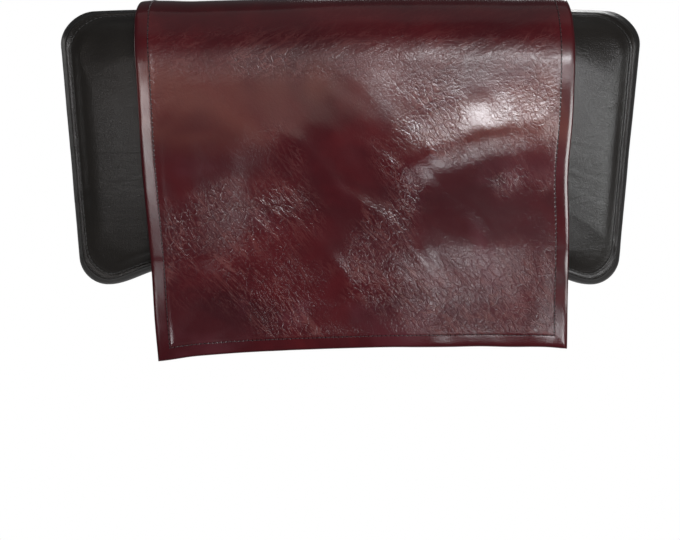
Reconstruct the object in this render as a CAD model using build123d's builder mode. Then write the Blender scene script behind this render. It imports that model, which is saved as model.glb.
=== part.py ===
"""Padded chair headrest with a loose leather cover hung over it.

Frame: +X to the sitter's left-hand side of the front view (right as seen from the front), +Y to the rear, +Z up.
The origin is the middle of the four bolt holes, on the rear face of the wooden board.
All sizes are in millimetres.
"""

from build123d import *

import os
from math import acos, cos, pi, sin

os.makedirs("parts", exist_ok=True)

# ---------------------------------------------------------------- pad, outside
half_width_top = 244.5  # half width at the upper corners
half_width_foot = 240.5  # half width at the lower corners
top_mid, top_end = 120.5, 114.8  # height of the top edge in the middle and at the corners
foot_mid, foot_end = -106.5, -121.5  # the lower edge is higher in the middle than at the two end lobes
lobe_x, lobe_r, arch_r = 215.0, 48.0, 62.0  # where a lobe is lowest, and the radii of its rise towards the middle
corner_top, corner_foot = 29.0, 24.0  # corner radii seen from the front
front_y, rear_y = -104.0, 1.2  # front of the crown, back of the turned-over leather
round_top, round_foot, round_rear = 48.0, 38.0, 11.0  # roundings seen from the side
round_end = 38.0  # rounding of the two ends seen from above

# ---------------------------------------------------------------- pad, layers
leather = 1.2
batting = 5.0
board_t = 12.0
board_inset = 13.0  # the board stands this far inside the outline
topper_y = -70.0  # firm foam behind this plane, soft foam in front of it
seam_y, seam_top_y = -92.0, -76.0  # the seam between front panel and side band, and where it runs along the top
seam_bend_z, seam_high_z = 74.0, 119.0  # it slopes back between these heights
turn_over = 30.0  # width of the leather turned over the board's rear face
dust_t = 0.6
dust_inset = 17.0
thread_w, thread_t = 0.7, 0.35
seam_row = 3.2  # distance of each stitch row from the seam

# ---------------------------------------------------------------- fixings
bolt_dx, bolt_dz = 200.0, 100.0  # hole pattern
bolt_r = 3.1  # M6, thread left plain
barrel_r, flange_r, flange_t = 4.0, 9.5, 1.3
prong_r, prong_w, prong_l = 7.6, 1.4, 6.0
pocket_r, pocket_d = 7.5, 16.0  # room in the foam for the bolt's end
dust_hole_r = 9.0
staple_w, staple_wire, staple_leg = 10.0, 0.6, 8.0

# ---------------------------------------------------------------- loose cover
sheet_w, sheet_l = 355.6, 711.2  # finished size, laid flat
sheet_t = 1.2
gap = 0.9  # between the pad's leather and the turned hem
hem = 12.7
stitch_in = 11.4  # stitch row, measured from the sheet's edge
rear_inner = 24.0  # inner face of the rear flap, behind the board
cover_round_rear = 34.0
hem_front_z = -173.0  # middle of the front hem
lean = 0.028  # the sheet hangs this much askew, as a slope
mid_x, mid_y, mid_z = 1.0, -40.0, top_mid + 3.0  # where it crosses the top
skin = gap + 1.5 * sheet_t  # middle of the sheet's own thickness, measured out from the pad
over_the_top = (top_mid - round_top - hem_front_z) + pi / 2 * (round_top + skin)
over_the_top += (rear_inner - gap - cover_round_rear) - (front_y + round_top) + pi / 2 * (cover_round_rear + skin)
hem_rear_z = top_mid - cover_round_rear - (sheet_l - over_the_top)  # middle of the rear hem


rise = foot_mid - foot_end
bend = acos(1 - rise / (lobe_r + arch_r))  # angle through which the lobe's arc and the arch's arc turn
bend_x, bend_z = lobe_x - lobe_r * sin(bend), foot_end + lobe_r * (1 - cos(bend))
flat_x = bend_x - arch_r * sin(bend)  # the lower edge is straight between here and the same place on the other side


def outline(inset):
    """Front view of the pad, moved in by inset."""
    with BuildSketch() as face:
        with BuildLine():
            ThreePointArc((-half_width_top, top_end), (0, top_mid), (half_width_top, top_end))
            Line((half_width_top, top_end), (half_width_foot, foot_end))
            Line((half_width_foot, foot_end), (lobe_x, foot_end))
            RadiusArc((lobe_x, foot_end), (bend_x, bend_z), lobe_r)
            RadiusArc((bend_x, bend_z), (flat_x, foot_mid), -arch_r)
            Line((flat_x, foot_mid), (-flat_x, foot_mid))
            RadiusArc((-flat_x, foot_mid), (-bend_x, bend_z), -arch_r)
            RadiusArc((-bend_x, bend_z), (-lobe_x, foot_end), lobe_r)
            Line((-lobe_x, foot_end), (-half_width_foot, foot_end))
            Line((-half_width_foot, foot_end), (-half_width_top, top_end))
        make_face()
        fillet(face.vertices().sort_by(Axis.Y)[-2:], radius=corner_top)
        fillet(face.vertices().filter_by_position(Axis.Y, foot_end - 1, foot_end + 1).sort_by(Axis.X)[::3], radius=corner_foot)
        if inset:
            offset(amount=-inset, mode=Mode.REPLACE)
    return face.sketch


def plate(inset, radius):
    """Outline of a flat piece behind the foam: like the pad's, but straight along the foot."""
    x_top, x_foot = half_width_top - inset, half_width_foot - inset
    z_mid, z_top, z_foot = top_mid - inset, top_end - inset, foot_mid + inset
    with BuildSketch() as face:
        with BuildLine():
            ThreePointArc((-x_top, z_top), (0, z_mid), (x_top, z_top))
            Polyline((x_top, z_top), (x_foot, z_foot), (-x_foot, z_foot), (-x_top, z_top))
        make_face()
        fillet(face.vertices(), radius=radius)
    return face.sketch


def envelope(inset):
    """Closed solid of the pad, moved in by inset on every side."""
    y0, y1 = front_y + inset, rear_y - inset
    z0, z1 = foot_end + inset, top_mid - inset
    x1 = half_width_top - inset
    with BuildPart() as body:
        with BuildSketch(Plane.XZ.offset(-y1)):
            add(outline(inset))
        extrude(amount=y1 - y0)
        with BuildSketch(Plane.YZ.offset(-300)) as side:
            with BuildLine():
                Polyline((y0, z0), (y1, z0), (y1, z1), (y0, z1), close=True)
            make_face()
            corners = side.vertices().sort_by(Axis.X)
            fillet(corners[2:], radius=round_rear - inset)
            fillet(side.vertices().sort_by(Axis.X)[:2].sort_by(Axis.Y)[-1], radius=round_top - inset)
            fillet(side.vertices().sort_by(Axis.Y)[:2].sort_by(Axis.X)[0], radius=round_foot - inset)
        extrude(amount=600, mode=Mode.INTERSECT)
        with BuildSketch(Plane.XY.offset(-200)) as above:
            with BuildLine():
                Polyline((-x1, y0), (x1, y0), (x1, y1), (-x1, y1), close=True)
            make_face()
            fillet(above.vertices().sort_by(Axis.Y)[2:], radius=round_rear - inset)
            fillet(above.vertices().sort_by(Axis.Y)[:2], radius=round_end - inset)
        extrude(amount=400, mode=Mode.INTERSECT)
    return body.part


def top_edge(x):
    return top_mid - (top_mid - top_end) * (x / half_width_top) ** 2


outside = envelope(0)
under_leather = envelope(leather)
under_batting = envelope(leather + batting)
bolt_places = [(sx * bolt_dx / 2, sz * bolt_dz / 2) for sx in (-1, 1) for sz in (-1, 1)]


# ---------------------------------------------------------------- tee nuts
with BuildPart() as tee_nuts:
    for x, z in bolt_places:
        with BuildSketch(Plane.XZ):
            with Locations((x, z)):
                Circle(barrel_r)
        extrude(amount=board_t)
        with BuildSketch(Plane.XZ.offset(board_t)):
            with Locations((x, z)):
                Circle(flange_r)
        extrude(amount=flange_t)
        with BuildSketch(Plane.XZ.offset(board_t)):
            with Locations((x, z)):
                with PolarLocations(prong_r, 4, start_angle=45):
                    Rectangle(1.0, prong_w)
        extrude(amount=-prong_l)
        with BuildSketch(Plane.XZ):
            with Locations((x, z)):
                Circle(bolt_r)
        extrude(amount=board_t + flange_t, mode=Mode.SUBTRACT)


# ---------------------------------------------------------------- staples
def staple_row(places, crown_y):
    """Staples with their crowns' rear faces at crown_y and their legs driven forwards. places holds (x, z, upright)."""
    with BuildPart() as row:
        for x, z, upright in places:
            here = Plane((x, crown_y, z), x_dir=(0, 0, 1) if upright else (1, 0, 0), z_dir=(0, -1, 0))
            with BuildSketch(here):
                Rectangle(staple_w, 1.0)
            extrude(amount=staple_wire)
            with BuildSketch(here):
                with GridLocations(staple_w - staple_wire, 0, 2, 1):
                    Rectangle(staple_wire, 1.0)
            extrude(amount=staple_leg)
    return row.part


band_places = [(x, top_edge(x) - 24.0, False) for x in range(-200, 201, 40)]
band_places += [(x, foot_mid + 25.0, False) for x in range(-200, 201, 40)]
band_places += [(s * (half_width_foot - 24.0), z, True) for s in (-1, 1) for z in (-60, -30, 0, 30, 60)]
dust_places = [(x, top_edge(x) - 20.5, False) for x in range(-180, 181, 40)]
dust_places += [(x, foot_mid + 21.0, False) for x in range(-180, 181, 40)]
dust_places += [(s * (half_width_foot - 20.5), z, True) for s in (-1, 1) for z in (-75, -45, -15, 15, 45, 75)]

with BuildPart() as band_staples:
    add(staple_row(band_places, rear_y))
with BuildPart() as dust_cover_staples:
    add(staple_row(dust_places, rear_y + dust_t + 0.5))


# ---------------------------------------------------------------- wooden board
with BuildPart() as back_board:
    with BuildSketch(Plane.XZ):
        add(plate(board_inset, 22.0))
    extrude(amount=board_t)
    add(tee_nuts.part, mode=Mode.SUBTRACT)
    with BuildSketch(Plane.XZ):
        with Locations(*bolt_places):
            Circle(barrel_r)
    extrude(amount=board_t, mode=Mode.SUBTRACT)
    add(band_staples.part, mode=Mode.SUBTRACT)
    add(dust_cover_staples.part, mode=Mode.SUBTRACT)

with BuildPart() as board_block:
    with BuildSketch(Plane.XZ):
        add(plate(board_inset, 22.0))
    extrude(amount=board_t)


# ---------------------------------------------------------------- foam
with BuildPart() as foam_core:
    add(under_batting)
    split(bisect_by=Plane.XZ.offset(board_t), keep=Keep.TOP)
    split(bisect_by=Plane.XZ.offset(-topper_y), keep=Keep.BOTTOM)
    with BuildSketch(Plane.XZ.offset(board_t)):
        with Locations(*bolt_places):
            Circle(flange_r)
    extrude(amount=flange_t, mode=Mode.SUBTRACT)
    with BuildSketch(Plane.XZ.offset(board_t)):
        with Locations(*bolt_places):
            Circle(pocket_r)
    extrude(amount=pocket_d, mode=Mode.SUBTRACT)

with BuildPart() as foam_topper:
    add(under_batting)
    split(bisect_by=Plane.XZ.offset(-topper_y), keep=Keep.TOP)

with BuildPart() as foam_block:
    add(under_batting)
    split(bisect_by=Plane.XZ.offset(board_t), keep=Keep.TOP)

with BuildPart() as batting_wrap:
    add(under_leather)
    add(foam_block.part, mode=Mode.SUBTRACT)
    add(board_block.part, mode=Mode.SUBTRACT)


# ---------------------------------------------------------------- leather casing
def in_front_of_seam(shift):
    """Everything in front of the seam's surface, moved to the rear by shift."""
    low, high = seam_y + shift, seam_top_y + shift
    with BuildPart() as block:
        with BuildSketch(Plane.YZ.offset(-300)):
            with BuildLine():
                Polyline((-150, -150), (low, -150), (low, seam_bend_z), (high, seam_high_z), (high, 150), (-150, 150), close=True)
            make_face()
        extrude(amount=600)
    return block.part


with BuildPart() as front_panel:
    add(outside)
    add(under_leather, mode=Mode.SUBTRACT)
    add(in_front_of_seam(0), mode=Mode.INTERSECT)

with BuildPart() as side_band:
    add(outside)
    add(under_leather, mode=Mode.SUBTRACT)
    add(in_front_of_seam(0), mode=Mode.SUBTRACT)
    with BuildSketch(Plane.XZ.offset(-rear_y - 1)):
        add(plate(turn_over, 12.0))
    extrude(amount=rear_y + 1.5, mode=Mode.SUBTRACT)
    add(band_staples.part, mode=Mode.SUBTRACT)
    add(dust_cover_staples.part, mode=Mode.SUBTRACT)

with BuildPart() as dust_cover:
    with BuildSketch(Plane.XZ.offset(-rear_y - dust_t)):
        add(plate(dust_inset, 20.0))
        with Locations(*bolt_places):
            Circle(dust_hole_r, mode=Mode.SUBTRACT)
    extrude(amount=dust_t)
    add(dust_cover_staples.part, mode=Mode.SUBTRACT)


# ---------------------------------------------------------------- stitch rows round the pad's seam
proud = envelope(-thread_t)


def seam_thread(shift):
    """Strand that runs all round the pad, shift behind the seam."""
    with BuildPart() as ring:
        add(proud)
        add(outside, mode=Mode.SUBTRACT)
        add(in_front_of_seam(shift + thread_w / 2), mode=Mode.INTERSECT)
        add(in_front_of_seam(shift - thread_w / 2), mode=Mode.SUBTRACT)
    return ring.part


with BuildPart() as front_seam_thread:
    add(seam_thread(-seam_row))
with BuildPart() as side_seam_thread:
    add(seam_thread(seam_row))


# ---------------------------------------------------------------- loose cover
def saddle(out):
    """Closed block under the cover's surface that stands out from the pad by out; its foot is far below the hems."""
    y0, y1, z1 = front_y - out, rear_inner - gap + out, top_mid + out
    with BuildPart() as block:
        with BuildSketch(Plane.YZ.offset(-230)) as side:
            with BuildLine():
                Polyline((y0, -330), (y1, -330), (y1, z1), (y0, z1), close=True)
            make_face()
            fillet(side.vertices().sort_by(Axis.Y)[-2:].sort_by(Axis.X)[-1], radius=cover_round_rear + out)
            fillet(side.vertices().sort_by(Axis.X)[:2].sort_by(Axis.Y)[-1], radius=round_top + out)
        extrude(amount=460)
        with BuildSketch(Plane.XZ.offset(-100)):
            with BuildLine():
                ThreePointArc((-half_width_top, top_end + out), (0, top_mid + out), (half_width_top, top_end + out))
                Polyline((half_width_top, top_end + out), (half_width_top, -340), (-half_width_top, -340), (-half_width_top, top_end + out))
            make_face()
        extrude(amount=300, mode=Mode.INTERSECT)
    return block.part


def ply(inner, outer, left, right, foot_front, foot_rear):
    """Piece of the hung sheet between two offsets from the pad. left and right are measured across the sheet from its
    middle line, foot_front and foot_rear up from its two end edges."""
    halves = []
    for sign, hem_z, up in ((1, hem_front_z, foot_front), (-1, hem_rear_z, foot_rear)):
        keep_half = Keep.TOP if sign == 1 else Keep.BOTTOM
        across = Vector(1, lean, sign * lean)
        foot_x = mid_x + sign * lean * ((abs(front_y) + mid_y if sign == 1 else rear_inner - mid_y) + mid_z - hem_z)
        up_dir = Vector(-sign * lean, 0, 1).normalized()
        with BuildPart() as half:
            add(saddle(outer))
            add(saddle(inner), mode=Mode.SUBTRACT)
            split(bisect_by=Plane.XZ.offset(-mid_y), keep=keep_half)
            split(bisect_by=Plane((mid_x + left, mid_y, mid_z), z_dir=across), keep=Keep.TOP)
            split(bisect_by=Plane((mid_x + right, mid_y, mid_z), z_dir=across), keep=Keep.BOTTOM)
            split(bisect_by=Plane(Vector(foot_x, 0, hem_z) + up_dir * up, z_dir=up_dir), keep=Keep.TOP)
        halves.append(half.part)
    return halves


edge = sheet_w / 2
face_in, face_out = gap + sheet_t, gap + 2 * sheet_t

with BuildPart() as end_hems:
    add(ply(gap, face_in, -edge + hem, edge - hem, 0, 0))
    add(ply(gap, face_in, -edge + hem, edge - hem, hem, hem), mode=Mode.SUBTRACT)

with BuildPart() as cover_sheet:
    add(ply(face_in, face_out, -edge, edge, 0, 0))
    add(ply(gap, face_in, -edge, -edge + hem, 0, 0))
    add(ply(gap, face_in, edge - hem, edge, 0, 0))
    add(end_hems.part)

row_in, row_out = edge - stitch_in - thread_w, edge - stitch_in
with BuildPart() as hem_thread_left:
    add(ply(face_out, face_out + thread_t, -row_out, -row_in, 1.5, 1.5))
with BuildPart() as hem_thread_right:
    add(ply(face_out, face_out + thread_t, row_in, row_out, 1.5, 1.5))


def end_thread(which):
    """Stitch row along the front (0) or rear (1) end hem."""
    with BuildPart() as run:
        add(ply(face_out, face_out + thread_t, -row_in + 1, row_in - 1, stitch_in, stitch_in)[which])
        add(ply(face_out, face_out + thread_t, -row_in + 1, row_in - 1, stitch_in + thread_w, stitch_in + thread_w)[which], mode=Mode.SUBTRACT)
    return run.part


with BuildPart() as hem_thread_front:
    add(end_thread(0))
with BuildPart() as hem_thread_rear:
    add(end_thread(1))


# ---------------------------------------------------------------- write
pieces = {
    "back_board": back_board,
    "tee_nuts": tee_nuts,
    "foam_core": foam_core,
    "foam_topper": foam_topper,
    "batting_wrap": batting_wrap,
    "front_panel": front_panel,
    "side_band": side_band,
    "front_seam_thread": front_seam_thread,
    "side_seam_thread": side_seam_thread,
    "band_staples": band_staples,
    "dust_cover": dust_cover,
    "dust_cover_staples": dust_cover_staples,
    "cover_sheet": cover_sheet,
    "hem_thread_left": hem_thread_left,
    "hem_thread_right": hem_thread_right,
    "hem_thread_front": hem_thread_front,
    "hem_thread_rear": hem_thread_rear,
}
for name, piece in pieces.items():
    piece.part.label = name
    export_step(piece.part, f"parts/{name}.step")
print("rear hem", round(hem_rear_z, 2), "lower edge straight to", round(flat_x, 1))
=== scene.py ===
import math

import bpy
import numpy as np
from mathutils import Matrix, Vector


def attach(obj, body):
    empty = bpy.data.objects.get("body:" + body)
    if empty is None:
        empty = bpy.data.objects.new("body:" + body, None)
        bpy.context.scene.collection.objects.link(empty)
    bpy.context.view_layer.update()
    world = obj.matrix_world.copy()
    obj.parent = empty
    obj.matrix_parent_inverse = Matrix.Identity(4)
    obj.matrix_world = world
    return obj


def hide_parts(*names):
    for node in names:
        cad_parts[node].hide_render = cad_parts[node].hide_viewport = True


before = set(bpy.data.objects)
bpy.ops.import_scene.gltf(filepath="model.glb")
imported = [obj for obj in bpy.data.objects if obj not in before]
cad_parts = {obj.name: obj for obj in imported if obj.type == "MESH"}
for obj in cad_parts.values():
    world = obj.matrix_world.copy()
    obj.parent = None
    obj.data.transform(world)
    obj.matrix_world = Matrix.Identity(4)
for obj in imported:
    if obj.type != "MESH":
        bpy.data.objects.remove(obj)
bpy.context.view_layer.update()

MM = 0.001

# ------------------------------------------------------------------ camera
cam_data = bpy.data.cameras.new("camera")
cam_data.sensor_width = 36.0
cam_data.lens = 46.06
cam_data.clip_start = 0.02
cam = bpy.data.objects.new("camera", cam_data)
cam.location = (-0.0085, -0.827, 0.074)
cam.rotation_euler = (math.radians(90 - 13.5), 0.0, 0.0)
bpy.context.scene.collection.objects.link(cam)
bpy.context.scene.camera = cam


# ------------------------------------------------------------------ helpers
def smooth(t):
    t = np.clip(t, 0.0, 1.0)
    return t * t * (3 - 2 * t)


def lattice(i, j, k, seed):
    h = (i.astype(np.int64) * 73856093) ^ (j.astype(np.int64) * 19349663) ^ (k.astype(np.int64) * 83492791) ^ (seed * 2654435761)
    h = (h ^ (h >> 13)) * 1274126177
    h = h ^ (h >> 16)
    return ((h & 0xFFFFF) / 0xFFFFF) * 2.0 - 1.0


def noise3(x, y, z, scale, seed=1):
    """Smooth seeded noise in -1..1, with features about scale across."""
    x, y, z = np.broadcast_arrays(np.asarray(x, float) / scale, np.asarray(y, float) / scale, np.asarray(z, float) / scale)
    i, j, k = np.floor(x), np.floor(y), np.floor(z)
    fx, fy, fz = smooth(x - i), smooth(y - j), smooth(z - k)
    out = 0.0
    for a in (0, 1):
        for b in (0, 1):
            for c in (0, 1):
                wx = fx if a else 1 - fx
                wy = fy if b else 1 - fy
                wz = fz if c else 1 - fz
                out = out + lattice(i + a, j + b, k + c, seed) * wx * wy * wz
    return out


def new_mesh(name, verts, faces, smooth_faces=True):
    mesh = bpy.data.meshes.new(name)
    mesh.from_pydata([tuple(v) for v in np.asarray(verts, float) * MM], [], [tuple(int(i) for i in f) for f in faces])
    mesh.update()
    if smooth_faces:
        mesh.polygons.foreach_set("use_smooth", [True] * len(mesh.polygons))
    obj = bpy.data.objects.new(name, mesh)
    bpy.context.scene.collection.objects.link(obj)
    return obj


def point_attribute(obj, name, values):
    a = obj.data.attributes.new(name, "FLOAT", "POINT")
    a.data.foreach_set("value", np.asarray(values, dtype=np.float32).ravel())


def ring_faces(n_rings, n, first=0, flip=False):
    """Quads between closed rings of n points each."""
    out = []
    for r in range(n_rings - 1):
        a, b = first + r * n, first + (r + 1) * n
        for i in range(n):
            j = (i + 1) % n
            f = (a + i, a + j, b + j, b + i)
            out.append(f[::-1] if flip else f)
    return out


def vertex_normals(verts, faces):
    v = np.asarray(verts, float)
    q = np.asarray(faces, int)
    n = np.cross(v[q[:, 2]] - v[q[:, 0]], v[q[:, 3]] - v[q[:, 1]])
    out = np.zeros_like(v)
    for c in range(4):
        np.add.at(out, q[:, c], n)
    return out / np.maximum(np.linalg.norm(out, axis=1, keepdims=True), 1e-12)


# ------------------------------------------------------------------ node material helpers
class Nodes:
    def __init__(self, name):
        self.mat = bpy.data.materials.new(name)
        self.mat.use_nodes = True
        self.tree = self.mat.node_tree
        self.tree.nodes.clear()
        self.out = self.tree.nodes.new("ShaderNodeOutputMaterial")
        self.bsdf = self.tree.nodes.new("ShaderNodeBsdfPrincipled")
        self.link(self.bsdf.outputs[0], self.out.inputs["Surface"])

    def link(self, a, b):
        self.tree.links.new(a, b)

    def put(self, socket, value):
        if isinstance(value, bpy.types.NodeSocket):
            self.link(value, socket)
        else:
            socket.default_value = value

    def coords(self, which="Object"):
        return self.tree.nodes.new("ShaderNodeTexCoord").outputs[which]

    def mapping(self, vec, scale=(1, 1, 1), rot=(0, 0, 0), loc=(0, 0, 0)):
        m = self.tree.nodes.new("ShaderNodeMapping")
        self.link(vec, m.inputs["Vector"])
        m.inputs["Scale"].default_value = scale
        m.inputs["Rotation"].default_value = rot
        m.inputs["Location"].default_value = loc
        return m.outputs[0]

    def noise(self, vec, scale, detail=3.0, rough=0.5, distort=0.0, lac=2.0):
        n = self.tree.nodes.new("ShaderNodeTexNoise")
        self.link(vec, n.inputs["Vector"])
        n.inputs["Scale"].default_value = scale
        n.inputs["Detail"].default_value = detail
        n.inputs["Roughness"].default_value = rough
        n.inputs["Distortion"].default_value = distort
        n.inputs["Lacunarity"].default_value = lac
        return n.outputs["Fac"]

    def voronoi(self, vec, scale, feature="F1", rand=1.0, out="Distance"):
        n = self.tree.nodes.new("ShaderNodeTexVoronoi")
        n.feature = feature
        self.link(vec, n.inputs["Vector"])
        n.inputs["Scale"].default_value = scale
        n.inputs["Randomness"].default_value = rand
        return n.outputs[out]

    def ramp(self, fac, stops, interp="LINEAR"):
        r = self.tree.nodes.new("ShaderNodeValToRGB")
        r.color_ramp.interpolation = interp
        while len(r.color_ramp.elements) < len(stops):
            r.color_ramp.elements.new(0.5)
        for e, (p, c) in zip(r.color_ramp.elements, stops):
            e.position = p
            e.color = c if len(c) == 4 else (*c, 1.0)
        self.link(fac, r.inputs["Fac"])
        return r.outputs["Color"]

    def span(self, value, a, b, lo=0.0, hi=1.0, kind="SMOOTHSTEP"):
        n = self.tree.nodes.new("ShaderNodeMapRange")
        n.interpolation_type = kind
        self.link(value, n.inputs["Value"])
        n.inputs["From Min"].default_value = a
        n.inputs["From Max"].default_value = b
        n.inputs["To Min"].default_value = lo
        n.inputs["To Max"].default_value = hi
        return n.outputs["Result"]

    def math(self, op, a, b=0.0, c=None, clamp=False):
        n = self.tree.nodes.new("ShaderNodeMath")
        n.operation = op
        n.use_clamp = clamp
        self.put(n.inputs[0], a)
        self.put(n.inputs[1], b)
        if c is not None:
            self.put(n.inputs[2], c)
        return n.outputs[0]

    def mix(self, fac, a, b, mode="MIX"):
        n = self.tree.nodes.new("ShaderNodeMix")
        n.data_type = "RGBA"
        n.blend_type = mode
        self.put(n.inputs["Factor"], fac)
        self.put(n.inputs["A"], a if isinstance(a, bpy.types.NodeSocket) else (*a, 1.0))
        self.put(n.inputs["B"], b if isinstance(b, bpy.types.NodeSocket) else (*b, 1.0))
        return n.outputs["Result"]

    def attribute(self, name):
        n = self.tree.nodes.new("ShaderNodeAttribute")
        n.attribute_name = name
        return n.outputs["Fac"]

    def bump(self, height, strength, distance, normal=None):
        n = self.tree.nodes.new("ShaderNodeBump")
        self.put(n.inputs["Strength"], strength)
        n.inputs["Distance"].default_value = distance
        self.link(height, n.inputs["Height"])
        if normal is not None:
            self.link(normal, n.inputs["Normal"])
        return n.outputs["Normal"]

    def separate(self, vec):
        n = self.tree.nodes.new("ShaderNodeSeparateXYZ")
        self.link(vec, n.inputs[0])
        return n.outputs

    def set(self, **values):
        for key, value in values.items():
            self.put(self.bsdf.inputs[key.replace("_", " ")], value)


# ------------------------------------------------------------------ shape of the pad, in millimetres
HALF_TOP, HALF_FOOT = 244.5, 240.5
TOP_MID, TOP_END = 120.5, 114.8
FOOT_MID, FOOT_END = -106.5, -121.5
LOBE_X, FLAT_X = 215.0, 159.5
SEAM_Y, SEAM_TOP_Y = -92.0, -76.0


def top_edge(x):
    return TOP_MID - (TOP_MID - TOP_END) * (x / HALF_TOP) ** 2


def arch(x):
    return (FOOT_MID - FOOT_END) * smooth((LOBE_X - np.abs(x)) / (LOBE_X - FLAT_X))


N_TOP, N_SIDE, N_CORNER = 190, 84, 18


def ring(dt, ds, db, r_top, r_foot, arch_share=1.0):
    """One closed ring round the pad, moved in by dt, ds and db at the top, ends and foot.
    Returns the points (x, z), the outward directions and the shares of top, end and foot."""
    a = HALF_TOP - ds
    zt, zb = TOP_MID - dt, FOOT_END + db
    r_top = min(r_top, (zt - zb) / 2 - 0.01, a - 1)
    r_foot = min(r_foot, (zt - zb) / 2 - 0.01, a - 1)
    xs, zs, nx, nz = [], [], [], []

    def straight(x0, z0, x1, z1, n, ox, oz):
        t = np.arange(n) / n
        xs.append(x0 + (x1 - x0) * t)
        zs.append(z0 + (z1 - z0) * t)
        nx.append(np.full(n, float(ox)))
        nz.append(np.full(n, float(oz)))

    def corner(cx, cz, r, a0, a1):
        t = np.radians(a0 + (a1 - a0) * np.arange(N_CORNER) / N_CORNER)
        xs.append(cx + r * np.cos(t))
        zs.append(cz + r * np.sin(t))
        nx.append(np.cos(t))
        nz.append(np.sin(t))

    straight(-a + r_top, zt, a - r_top, zt, N_TOP, 0, 1)
    corner(a - r_top, zt - r_top, r_top, 90, 0)
    straight(a, zt - r_top, a, zb + r_foot, N_SIDE, 1, 0)
    corner(a - r_foot, zb + r_foot, r_foot, 0, -90)
    straight(a - r_foot, zb, -a + r_foot, zb, N_TOP, 0, -1)
    corner(-a + r_foot, zb + r_foot, r_foot, -90, -180)
    straight(-a, zb + r_foot, -a, zt - r_top, N_SIDE, -1, 0)
    corner(-a + r_top, zt - r_top, r_top, 180, 90)
    x, z, nx, nz = map(np.concatenate, (xs, zs, nx, nz))
    w_top = np.clip(nz, 0, 1) ** 2
    w_foot = np.clip(-nz, 0, 1) ** 2
    w_side = nx ** 2
    # the pad narrows a little towards the foot, its top edge is crowned and its foot arches up in the middle
    x = x * (1 - (HALF_TOP - HALF_FOOT) / HALF_TOP * np.clip((TOP_END - z) / (TOP_END - FOOT_END), 0, 1))
    z = z - (TOP_MID - top_edge(x)) * smooth(z / 120) + arch_share * arch(x) * smooth((-z - 45) / 70)
    return x, z, nx, nz, w_top, w_side, w_foot


def pad_ring(top, side, foot, r_top=29.0, r_foot=24.0, arch_share=1.0):
    """top, side and foot are (inset, y) for that part of the ring."""
    x, z, nx, nz, wt, ws, wf = ring(top[0], side[0], foot[0], r_top, r_foot, arch_share)
    y = wt * top[1] + ws * side[1] + wf * foot[1]
    return np.stack([x, y, z], 1), np.stack([nx, np.zeros_like(nx), nz], 1)


N_RING = 2 * N_TOP + 2 * N_SIDE + 4 * N_CORNER


def front_profile(t):
    """Inset and y for top, side and foot on the rounding in front of the straight band; t from 0, at y = -66, to 1."""
    a = np.radians(82 * t)
    full = np.sin(np.radians(82))
    out = []
    for r, start, deep in ((48.0, 9.0, 45.5), (38.0, 0.0, 35.5), (38.0, 0.0, 35.5)):
        b = np.radians(start) + (np.radians(82) - np.radians(start)) * t
        y0 = -104 + r
        out.append((r * (1 - np.cos(b)), y0 - deep * np.sin(b)))
    return out


def seam_t(r, deep, start, y):
    """The t at which the rounding reaches y."""
    b = math.asin((-104 + r - y) / deep)
    return (b - math.radians(start)) / (math.radians(82) - math.radians(start))


T_SEAM = (seam_t(48.0, 45.5, 9.0, SEAM_TOP_Y), seam_t(38.0, 35.5, 0.0, SEAM_Y), seam_t(38.0, 35.5, 0.0, SEAM_Y))


def seamed(step, depth):
    """Ring step millimetres in front of the seam along the surface, pressed in by depth."""
    out = []
    for i, (r, deep, start) in enumerate(((48.0, 45.5, 9.0), (38.0, 35.5, 0.0), (38.0, 35.5, 0.0))):
        t = T_SEAM[i] + step / (r * (math.radians(82) - math.radians(start)))
        b = math.radians(start) + (math.radians(82) - math.radians(start)) * t
        out.append((r * (1 - math.cos(b)) + depth * math.cos(b), -104 + r - deep * math.sin(b) + depth * math.sin(b)))
    return out


def groove(s):
    """Depth of the sewn seam's relief, s millimetres from the seam."""
    s = np.abs(s)
    return 1.7 * np.exp(-(s / 0.9) ** 2) - 0.45 * np.exp(-((s - 2.0) / 0.9) ** 2) + 0.35 * np.exp(-((s - 3.2) / 0.45) ** 2) - 0.25 * np.exp(-((s - 4.5) / 0.8) ** 2) + 0.5 * np.exp(-((s - 8) / 3.0) ** 2) * 0.6


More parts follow.
